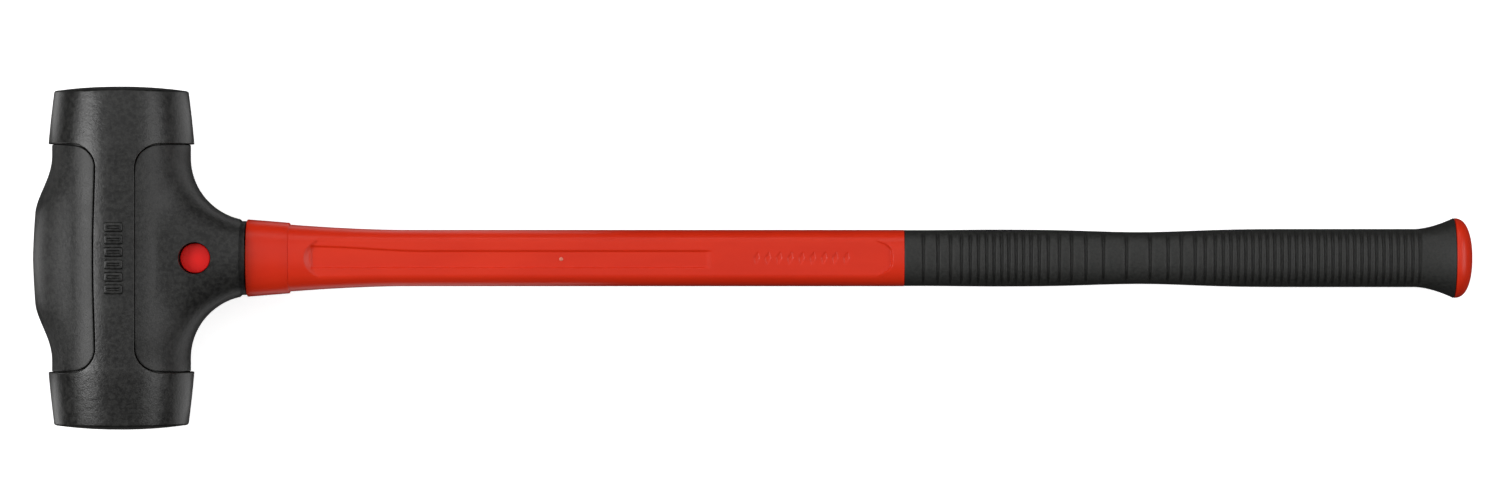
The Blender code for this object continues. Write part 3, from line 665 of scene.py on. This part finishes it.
def shaft_columns(x):
    """Heights y of the points across one flat side, for each x, with columns along every edge line."""
    h, w, top, bottom = shaft_half_height(x), flat_half(x), groove_top(x), groove_bottom(x)
    edge = WALL_HALF
    # Each span is its low and high ends, its number of columns, and how they cluster.
    spans = [
        (-w + edge, bottom - edge, 9, 0.6),
        (bottom - edge, bottom + edge, 6, 0),
        (bottom + edge, top - edge, 18, 0.2),
        (top - edge, top + edge, 6, 0),
        (top + edge, w - edge, 9, 0.6),
    ]
    inner = np.vstack([between(*span) for span in spans] + [(w - edge)[None, :]])
    turn = np.linspace(0, 1, 19)[:, None]
    limit = np.arccos(np.clip((w + edge) / h, 0, 1))
    side_up = h * np.cos(limit * (1 - turn))
    side_down = -h * np.cos(limit * turn)
    return np.vstack([side_down, inner, side_up])


def soft_min(a, b, round_off):
    """The lower of a and b, with the crease between them rounded off."""
    return 0.5 * (a + b - np.sqrt((a - b) ** 2 + round_off**2))


def mark_depth(x, y):
    """Depth of a plain row of sunk lozenges."""
    pitch = (LOZENGE_LAST_X - LOZENGE_FIRST_X) / (LOZENGE_COUNT - 1)
    near = LOZENGE_FIRST_X + pitch * np.clip(np.round((x - LOZENGE_FIRST_X) / pitch), 0, LOZENGE_COUNT - 1)
    tilt = (x - near) - LOZENGE_LEAN * y
    size = np.abs(tilt) / LOZENGE_HALF_X + np.abs(y) / LOZENGE_HALF_Y
    return LOZENGE_DEPTH * (1 - smoothstep(0.72, 1.0, size))


def shaft_top(x, y):
    """Height z of the shaft's surface over (x, y): an oval, planed flat, with a sunk groove and a mark."""
    h, t = shaft_half_height(x), shaft_half_thickness(x)
    oval = t * np.clip(1 - np.abs(y / h) ** SHAFT_POWER, 0, None) ** (1 / SHAFT_POWER)
    # The flat's ends are curved, and run out upwards.
    left = FLAT_LEFT_X + 5.7 * MM * (y / (12 * MM)) ** 2
    right = FLAT_RIGHT_X - 8.5 * MM * (y / (10.5 * MM)) ** 4
    level = t * (1 - (flat_half(x) / h) ** SHAFT_POWER) ** (1 / SHAFT_POWER)
    level = level + 4.2 * MM * (1 - smoothstep(left - 3.5 * MM, left + 5.2 * MM, x))
    level = level + 3.0 * MM * smoothstep(right - 0.9 * MM, right + 1.3 * MM, x)
    edge = WALL_HALF
    across = smoothstep(groove_bottom(x) - edge, groove_bottom(x) + edge, y)
    across = across * (1 - smoothstep(groove_top(x) - edge, groove_top(x) + edge, y))
    along = smoothstep(GROOVE_START_X - 0.3 * MM, GROOVE_START_X + 0.5 * MM, x)
    along = along * (1 - smoothstep(GROOVE_END_X - 6 * MM, GROOVE_END_X, x))
    level = level - GROOVE_DEPTH * across * along - mark_depth(x, y)
    return soft_min(oval, level, SHAFT_CREASE)


def stations(*spans):
    """Places along X: each span is (start, end, step), and the last end is included."""
    places = [np.linspace(a, b, max(1, round((b - a) / step)), endpoint=False) for a, b, step in spans]
    return np.append(np.concatenate(places), spans[-1][1])


def shaft(material):
    """The shaft, with closer stations where its flats, groove and mark begin and end."""
    x = stations(
        (COLLAR_END_X, 111 * MM, 0.8 * MM),
        (111 * MM, 126 * MM, 0.4 * MM),
        (126 * MM, 362 * MM, 2.5 * MM),
        (362 * MM, 373 * MM, 0.6 * MM),
        (373 * MM, 393 * MM, 2.5 * MM),
        (393 * MM, 458 * MM, 0.45 * MM),
        (458 * MM, 470 * MM, 1.5 * MM),
        (470 * MM, SHAFT_END_X, 0.4 * MM),
    )
    y = shaft_columns(x)
    grid_x = np.broadcast_to(x, y.shape)
    z = shaft_top(grid_x, y)
    z[0] = z[-1] = 0
    front = xyz(grid_x, y, z)
    back = xyz(grid_x, y, -z)[::-1]
    around = np.vstack([front, back[1:-1]]).transpose(1, 0, 2)
    skin = Skin().grid(around)
    skin.fan(around[0], (x[0], 0, 0))
    skin.fan(around[-1], (x[-1], 0, 0))
    skin.made("shaft_skin", material, 40, ["shaft"], "red_plastic")


def superellipse(half_height, half_thickness, power, count):
    """Points (y, z) round a section, spread evenly in angle."""
    a = np.linspace(0, 2 * math.pi, count, endpoint=False)
    c, s = np.cos(a), np.sin(a)
    y = half_height * np.sign(c) * np.abs(c) ** (2 / power)
    z = half_thickness * np.sign(s) * np.abs(s) ** (2 / power)
    return y, z


def even_superellipse(half_height, half_thickness, power, count):
    """The same, spread evenly along the curve."""
    y, z = superellipse(half_height, half_thickness, power, 16 * count)
    y, z = np.append(y, y[0]), np.append(z, z[0])
    run = np.append(0, np.cumsum(np.hypot(np.diff(y), np.diff(z))))
    at = np.linspace(0, run[-1], count, endpoint=False)
    return np.interp(at, run, y), np.interp(at, run, z)


def collar(material):
    """The tapered collar between hosel and shaft."""
    length, lip = COLLAR_END_X - COLLAR_START_X, COLLAR_LIP
    start_edge = [(0, 3.5 * MM), (0, lip), (0.3 * lip, 0.3 * lip), (lip, 0)]
    body = [(length * share, 0) for share in (0.25, 0.5, 0.75)]
    end_edge = [(length - lip, 0), (length - 0.3 * lip, 0.3 * lip), (length, lip), (length, 2.5 * MM)]
    points = []
    for x, inset in start_edge + body + end_edge:
        share = x / length
        height = COLLAR_HALF_HEIGHT - COLLAR_TAPER_HEIGHT * share
        thickness = COLLAR_HALF_THICKNESS - COLLAR_TAPER_THICKNESS * share
        y, z = even_superellipse(height, thickness, COLLAR_POWER, 128)
        scale = 1 - inset / np.hypot(y, z)
        points.append(xyz(COLLAR_START_X + x, y * scale, z * scale))
    skin = Skin().grid(np.array(points))
    skin.fan(points[0], (COLLAR_START_X, 0, 0))
    skin.fan(points[-1], (COLLAR_END_X, 0, 0))
    skin.made("collar_skin", material, 50, ["shaft_collar"], "red_plastic")


def grip_half_height(x):
    """Half the grip's height, with its waist between the hands."""
    height = 17.5 * MM + 0.35 * MM * smoothstep(500 * MM, 550 * MM, x)
    height = height - 1.6 * MM * np.exp(-(((x - 637 * MM) / (42 * MM)) ** 2))
    return height + 0.35 * MM * smoothstep(640 * MM, 720 * MM, x)


def grip_flare(x):
    """Share of the grip's flare towards the pommel."""
    return (np.clip(x - GRIP_FLARE_X, 0, None) / (GRIP_END_X - GRIP_FLARE_X)) ** GRIP_FLARE_POWER


def groove_places():
    """Centres of the grip's grooves, closest together where each hand closes."""
    steps = [9.0, 7.9, 6.8, 5.5, 5.1, 5.1, 4.6, 4.8, 4.4, 4.6, 4.6, 4.7, 5.1, 5.7, 6.9, 7.6]
    steps += [9.0, 10.9, 14.4, 14.8, 11.1, 8.3, 8.6, 6.2, 6.3, 5.0, 4.8, 4.6] + [4.53] * 25
    return GRIP_FIRST_GROOVE_X + MM * np.cumsum([0] + steps)


def grip_stations(places):
    """Places along the grip: close together across each groove, and some between them."""
    offsets = np.array([-1.5, -1.2, -0.95, -0.7, -0.4, 0, 0.4, 0.7, 0.95, 1.2, 1.5]) * MM
    cuts = np.concatenate([p + offsets for p in places])
    start = stations((SHAFT_END_X + 0.4 * MM, 499 * MM, 1.5 * MM))
    end = stations((811.3 * MM, GRIP_END_X, 0.8 * MM))
    rib_end = GRIP_RIB_END_X + np.array([-0.5, -0.25, 0, 0.25, 0.5]) * MM
    gaps = list(zip(places, np.diff(places)))
    extra = [a + gap / 2 for a, gap in gaps if gap > 3 * MM]
    extra += [a + gap * share for a, gap in gaps if gap > 7 * MM for share in (0.3, 0.7)]
    x = np.unique(np.round(np.concatenate([cuts, start, end, rib_end, extra]), 7))
    x = x[np.append(True, np.diff(x) > 0.08 * MM)]
    return np.append(x[x < GRIP_END_X - 1e-5], GRIP_END_X)


def grip(material):
    """The ribbed grip, whose grooves fade out on its narrow sides."""
    places = groove_places()
    rings = []
    for x in grip_stations(places):
        height = float(grip_half_height(x))
        thick = GRIP_FLATNESS * height
        bell = float(grip_flare(x))
        y, z = even_superellipse(
            height + (POMMEL_HALF_HEIGHT - GRIP_FLARE_FROM) * bell,
            thick + (POMMEL_HALF_THICKNESS - GRIP_FLATNESS * GRIP_FLARE_FROM) * bell,
            GRIP_POWER - 0.35 * bell,
            120,
        )
        near = np.min(np.abs(x - places))
        depth = GRIP_GROOVE_DEPTH * (1 - smoothstep(*GRIP_GROOVE_WALL, near))
        depth += GRIP_LINE_DEPTH * (1 - smoothstep(*GRIP_LINE_WALL, abs(x - GRIP_RIB_END_X)))
        side = smoothstep(*GRIP_SMOOTH_SIDE, np.abs(z) / thick)
        shrink = 1 - depth * side / np.hypot(y, z)
        rings.append(xyz(x, y * shrink, z * shrink))
    # A small rounded shoulder at the shaft, and flat ends.
    y, z = rings[0][:, 1], rings[0][:, 2]
    start = SHAFT_END_X + 0.1 * MM
    shoulder = [xyz(start, y * 0.93, z * 0.93), xyz(start, y * 0.985, z * 0.985)]
    points = shoulder + rings
    skin = Skin().grid(np.array(points))
    skin.fan(points[0], (start, 0, 0))
    skin.fan(points[-1], (GRIP_END_X, 0, 0))
    skin.made("grip_skin", material, 50, ["grip_sleeve"], "grip_rubber")


def pommel_cap(material):
    """The domed end cap, with a rounded edge where it meets the grip."""
    start = GRIP_END_X + 0.25 * MM
    lip = [(0, 3 * MM)]
    for a in quarter_turn(6)[:-1]:
        lip.append((POMMEL_LIP * (1 - math.cos(a)), POMMEL_LIP * (1 - math.sin(a))))
    sizes = [(x, POMMEL_HALF_HEIGHT - inset, POMMEL_HALF_THICKNESS - inset) for x, inset in lip]
    for t in np.sin(np.linspace(0.1, math.pi / 2 - 0.04, 26)):
        shrink = (1 - t**2.6) ** (1 / 2.2)
        depth = (POMMEL_END_X - start) * t
        sizes.append((depth, POMMEL_HALF_HEIGHT * shrink, POMMEL_HALF_THICKNESS * shrink))
    points = []
    for x, height, thickness in sizes:
        y, z = even_superellipse(height, thickness, POMMEL_POWER, 128)
        points.append(xyz(start + x, y, z))
    skin = Skin().grid(np.array(points))
    skin.fan(points[0], (start, 0, 0))
    skin.fan(points[-1], (POMMEL_END_X, 0, 0))
    skin.made("pommel_skin", material, 50, ["pommel_cap"], "red_plastic")


def gate_pip(material):
    """The small moulding pip in the shaft's groove, on both sides."""
    turn = np.linspace(0, 2 * math.pi, 32, endpoint=False)
    skin = Skin()
    floor_z = FLAT_Z - GROOVE_DEPTH
    profile = [(1.3 * MM, -PIP_ROOT), (1.3 * MM, 0.05 * MM), (1.15 * MM, 0.4 * MM)]
    profile += [(0.8 * MM, 0.65 * MM), (0.4 * MM, 0.75 * MM)]
    for z_side in (1, -1):
        rings = []
        for r, up in profile:
            rings.append(xyz(PIP_X + r * np.cos(turn), PIP_Y + r * np.sin(turn), z_side * (floor_z + up)))
        skin.grid(np.array(rings))
        skin.fan(rings[-1], (PIP_X, PIP_Y, z_side * (floor_z + PIP_HEIGHT)))
        skin.fan(rings[0], (PIP_X, PIP_Y, z_side * (floor_z - PIP_ROOT)))
    skin.made("gate_pip", material, 50, slot="red_plastic")


# ---------------------------------------------------------------- materials


class Finish:
    """A Principled material built from a few procedural layers in the object's own coordinates."""

    def __init__(self, name, roughness=0.5, metallic=0.0):
        self.material = bpy.data.materials.new(name)
        self.material.use_nodes = True
        self.nodes = self.material.node_tree.nodes
        self.links = self.material.node_tree.links
        self.shader = self.nodes["Principled BSDF"]
        self.shader.inputs["Roughness"].default_value = roughness
        self.shader.inputs["Metallic"].default_value = metallic
        self.place = self.nodes.new("ShaderNodeTexCoord").outputs["Object"]
        self.height = None

    def set(self, **values):
        """Plain values for the shader's own sockets."""
        for name, value in values.items():
            self.shader.inputs[name.replace("_", " ")].default_value = value
        return self

    def stretched(self, scale):
        """The object's coordinates, scaled differently along each axis."""
        mapping = self.nodes.new("ShaderNodeMapping")
        mapping.inputs["Scale"].default_value = scale
        self.links.new(self.place, mapping.inputs["Vector"])
        return mapping.outputs["Vector"]

    def noise(self, size, detail=3.0, roughness=0.5, place=None):
        """Cloudy noise with features about size metres across."""
        node = self.nodes.new("ShaderNodeTexNoise")
        node.inputs["Scale"].default_value = 1 / size
        node.inputs["Detail"].default_value = detail
        node.inputs["Roughness"].default_value = roughness
        self.links.new(place or self.place, node.inputs["Vector"])
        return node.outputs["Fac"]

    def cells(self, size):
        """Distance from the middle of the nearest of many cells about size metres across."""
        node = self.nodes.new("ShaderNodeTexVoronoi")
        node.inputs["Scale"].default_value = 1 / size
        self.links.new(self.place, node.inputs["Vector"])
        return node.outputs["Distance"]

    def span(self, value, low, high, to_low, to_high):
        """value mapped from low..high to to_low..to_high, and held at the ends."""
        node = self.nodes.new("ShaderNodeMapRange")
        limits = {"From Min": low, "From Max": high, "To Min": to_low, "To Max": to_high}
        for key, number in limits.items():
            node.inputs[key].default_value = number
        self.links.new(value, node.inputs["Value"])
        return node.outputs["Result"]

    def math(self, operation, a, b):
        node = self.nodes.new("ShaderNodeMath")
        node.operation = operation
        for socket, value in zip(node.inputs, (a, b)):
            if isinstance(value, (int, float)):
                socket.default_value = value
            else:
                self.links.new(value, socket)
        return node.outputs["Value"]

    def colour(self, share, dark, light):
        """Base colour from dark to light by share."""
        node = self.nodes.new("ShaderNodeMix")
        node.data_type = "RGBA"
        node.inputs["A"].default_value = (*dark, 1)
        node.inputs["B"].default_value = (*light, 1)
        self.links.new(share, node.inputs["Factor"])
        self.links.new(node.outputs["Result"], self.shader.inputs["Base Color"])

    def rough(self, value):
        """Roughness from a value."""
        self.links.new(value, self.shader.inputs["Roughness"])

    def bump(self, height, distance, strength=1.0):
        """Adds a bump of that height in metres on top of those before it."""
        node = self.nodes.new("ShaderNodeBump")
        node.inputs["Distance"].default_value = distance
        node.inputs["Strength"].default_value = strength
        self.links.new(height, node.inputs["Height"])
        if self.height is not None:
            self.links.new(self.height, node.inputs["Normal"])
        self.height = node.outputs["Normal"]
        self.links.new(self.height, self.shader.inputs["Normal"])


def black_urethane(name, roughness):
    """Moulded urethane with a mottled, lightly pebbled skin."""
    f = Finish(name)
    clouds = f.noise(22 * MM, 4, 0.6)
    mottle = f.noise(2.8 * MM, 3, 0.7)
    grain = f.noise(0.9 * MM, 3, 0.6)
    share = f.math("ADD", f.span(clouds, 0.35, 0.65, 0, 0.25), f.span(mottle, 0.4, 0.62, 0, 0.75))
    f.colour(share, (0.001, 0.001, 0.0008), (0.025, 0.025, 0.0235))
    fine = f.span(mottle, 0.3, 0.7, roughness, roughness + 0.06)
    f.rough(f.math("ADD", fine, f.span(clouds, 0.35, 0.65, -0.02, 0.03)))
    f.bump(grain, 0.12 * MM, 0.7)
    f.bump(mottle, 0.25 * MM, 0.7)
    f.bump(f.noise(14 * MM, 2, 0.5), 0.5 * MM, 0.3)
    return f.material


def black_grip_rubber():
    f = Finish("black_grip_rubber")
    mottle = f.noise(1.6 * MM, 4, 0.6)
    f.colour(f.span(mottle, 0.3, 0.7, 0, 1), (0.009, 0.0095, 0.0085), (0.025, 0.0255, 0.0235))
    f.rough(f.span(mottle, 0.3, 0.7, 0.46, 0.6))
    f.bump(f.noise(0.5 * MM, 2, 0.5), 0.05 * MM, 0.4)
    return f.material


def coloured_plastic(name, dark, light, rough):
    """Moulded plastic, with flow streaks along the handle and a fine speckle."""
    f = Finish(name).set(Specular_IOR_Level=0.35)
    flow = f.noise(18 * MM, 3, 0.5, f.stretched((0.25, 1, 1)))
    speck = f.noise(0.8 * MM, 3, 0.6)
    f.colour(f.span(flow, 0.3, 0.7, 0, 1), dark, light)
    f.rough(f.span(speck, 0.3, 0.7, *rough))
    f.bump(speck, 0.03 * MM, 0.3)
    f.bump(f.noise(9 * MM, 2, 0.5, f.stretched((0.4, 1, 1))), 0.25 * MM, 0.25)
    return f.material


def steel(name, colour, rough):
    """Drawn steel with its grain along the head."""
    f = Finish(name, metallic=1.0)
    grain = f.noise(1.2 * MM, 4, 0.6, f.stretched((1, 0.08, 1)))
    light = tuple(min(1, c * 1.15) for c in colour)
    f.colour(f.span(grain, 0.3, 0.7, 0, 1), tuple(c * 0.85 for c in colour), light)
    f.rough(f.span(grain, 0.3, 0.7, rough - 0.07, rough + 0.07))
    f.bump(grain, 0.05 * MM, 0.3)
    return f.material


def steel_shot():
    """A bed of small steel balls, with painted shade in the gaps between them."""
    f = Finish("steel_shot", metallic=1.0)
    balls = f.cells(2.4 * MM)
    # Painted shade: the colour darkens from each ball's middle towards the gaps between the balls.
    f.colour(f.span(balls, 0, 0.8, 0, 1), (0.42, 0.42, 0.43), (0.1, 0.1, 0.1))
    f.rough(f.span(balls, 0, 0.8, 0.3, 0.55))
    f.bump(f.math("MULTIPLY", balls, -1), 1.0 * MM, 1.0)
    return f.material


def glass_fibre():
    f = Finish("glass_fibre")
    strands = f.noise(0.8 * MM, 3, 0.6, f.stretched((0.03, 1, 1)))
    f.colour(f.span(strands, 0.3, 0.7, 0, 1), (0.42, 0.4, 0.24), (0.66, 0.63, 0.44))
    f.rough(f.span(strands, 0.3, 0.7, 0.35, 0.55))
    f.bump(strands, 0.05 * MM, 0.5)
    return f.material


def casting_resin():
    f = Finish("casting_resin")
    clouds = f.noise(6 * MM, 3, 0.5)
    f.colour(f.span(clouds, 0.3, 0.7, 0, 1), (0.33, 0.24, 0.09), (0.48, 0.38, 0.18))
    f.rough(f.span(clouds, 0.3, 0.7, 0.2, 0.35))
    f.bump(clouds, 0.2 * MM, 0.4)
    return f.material


def inner_pieces():
    """Materials for the CAD nodes inside the hammer, which keep their own shapes."""
    plain = steel("plain_steel", (0.45, 0.46, 0.48), 0.35)
    shot = steel_shot()
    looks = {
        "canister_tube": plain,
        "end_plug_a": plain,
        "end_plug_b": plain,
        "eye_tube": plain,
        "cross_pin": plain,
        "shot_charge_a": shot,
        "shot_charge_b": shot,
        "handle_core": glass_fibre(),
        "resin_plug": casting_resin(),
    }
    for node, material in looks.items():
        mesh = frame["nodes"][node].data
        mesh.materials.clear()
        mesh.materials.append(material)


# ---------------------------------------------------------------- stage


def floor():
    """A pale floor. The hammer sees it dim, as if it lay further below, so that its dark sides stay dark."""
    mesh = bpy.data.meshes.new("floor")
    corners = [(-FLOOR_HALF, -FLOOR_HALF, 0), (FLOOR_HALF, -FLOOR_HALF, 0)]
    corners += [(FLOOR_HALF, FLOOR_HALF, 0), (-FLOOR_HALF, FLOOR_HALF, 0)]
    mesh.from_pydata(corners, [], [(0, 1, 2, 3)])
    obj = bpy.data.objects.new("floor", mesh)
    bpy.context.scene.collection.objects.link(obj)
    obj.location.z = FLOOR_Z
    f = Finish("floor_white", 0.9)
    rays = f.nodes.new("ShaderNodeLightPath").outputs["Is Camera Ray"]
    f.colour(rays, FLOOR_LIT, FLOOR_SEEN)
    f.set(Emission_Color=(1, 1, 1, 1))
    f.links.new(f.math("MULTIPLY", rays, FLOOR_GLOW), f.shader.inputs["Emission Strength"])
    mesh.materials.append(f.material)


def softbox(name, location, size, radiance):
    """A rectangular light that faces the origin."""
    light = bpy.data.lights.new(name, "AREA")
    light.shape = "RECTANGLE"
    light.size, light.size_y = size
    light.energy = radiance * math.pi * size[0] * size[1]
    obj = bpy.data.objects.new(name, light)
    bpy.context.scene.collection.objects.link(obj)
    obj.location = location
    obj.rotation_euler = (-Vector(location)).to_track_quat("-Z", "Y").to_euler()
    return obj


def lighting():
    for box in SOFTBOXES:
        softbox(*box)
    for i, (x, y, width, length, radiance) in enumerate(CARDS):
        card = softbox(f"card_{i}", (x, y, CARD_Z), (width, length), radiance)
        card.data.shape = "ELLIPSE"
        card.rotation_euler = (math.pi, 0, 0)
        card.visible_camera = False


def sky():
    """A dim sky, brighter overhead, that the camera sees as white."""
    world = bpy.data.worlds.new("studio")
    bpy.context.scene.world = world
    world.use_nodes = True
    nodes, links = world.node_tree.nodes, world.node_tree.links
    place_in_sky = nodes.new("ShaderNodeTexCoord")
    split = nodes.new("ShaderNodeSeparateXYZ")
    ramp = nodes.new("ShaderNodeMapRange")
    ramp.inputs["To Min"].default_value, ramp.inputs["To Max"].default_value = SKY
    rays = nodes.new("ShaderNodeLightPath")
    brighter = nodes.new("ShaderNodeMath")
    brighter.operation = "MAXIMUM"
    links.new(place_in_sky.outputs["Generated"], split.inputs["Vector"])
    links.new(split.outputs["Z"], ramp.inputs["Value"])
    links.new(rays.outputs["Is Camera Ray"], brighter.inputs[0])
    links.new(ramp.outputs["Result"], brighter.inputs[1])
    links.new(brighter.outputs["Value"], nodes["Background"].inputs["Strength"])
    nodes["Background"].inputs["Color"].default_value = (1, 1, 1, 1)


def camera():
    data = bpy.data.cameras.new("camera")
    data.sensor_width = 36
    data.lens = data.sensor_width * CAMERA_DISTANCE / VIEW_WIDTH
    data.clip_end = 50
    obj = bpy.data.objects.new("camera", data)
    bpy.context.scene.collection.objects.link(obj)
    obj.matrix_world = HAMMER @ Matrix.Translation((CAMERA_X, CAMERA_Y, CAMERA_DISTANCE))
    bpy.context.scene.camera = obj
    bpy.context.scene.view_settings.view_transform = "Standard"


def main():
    urethane = black_urethane("black_urethane", 0.3)
    matte_urethane = black_urethane("matte_black_urethane", 0.42)
    red = coloured_plastic("red_shaft_plastic", (0.71, 0.022, 0.002), (0.78, 0.029, 0.004), (0.3, 0.4))
    plug_red = coloured_plastic("red_plug_plastic", (0.9, 0.005, 0.003), (0.98, 0.008, 0.005), (0.45, 0.55))
    # The pip's pale tint is a painted highlight: it stands in for the glint on its small dome.
    pip_painted_highlight_red = coloured_plastic("pip_painted_highlight", (0.75, 0.22, 0.15), (0.8, 0.28, 0.2), (0.15, 0.25))
    wear_shell(urethane)
    handle_cheek(matte_urethane)
    swell_cheek(matte_urethane)
    strap_marks(urethane)
    pin_plugs(plug_red)
    collar(red)
    shaft(red)
    gate_pip(pip_painted_highlight_red)
    grip(black_grip_rubber())
    pommel_cap(red)
    inner_pieces()
    floor()
    lighting()
    sky()
    camera()


main()
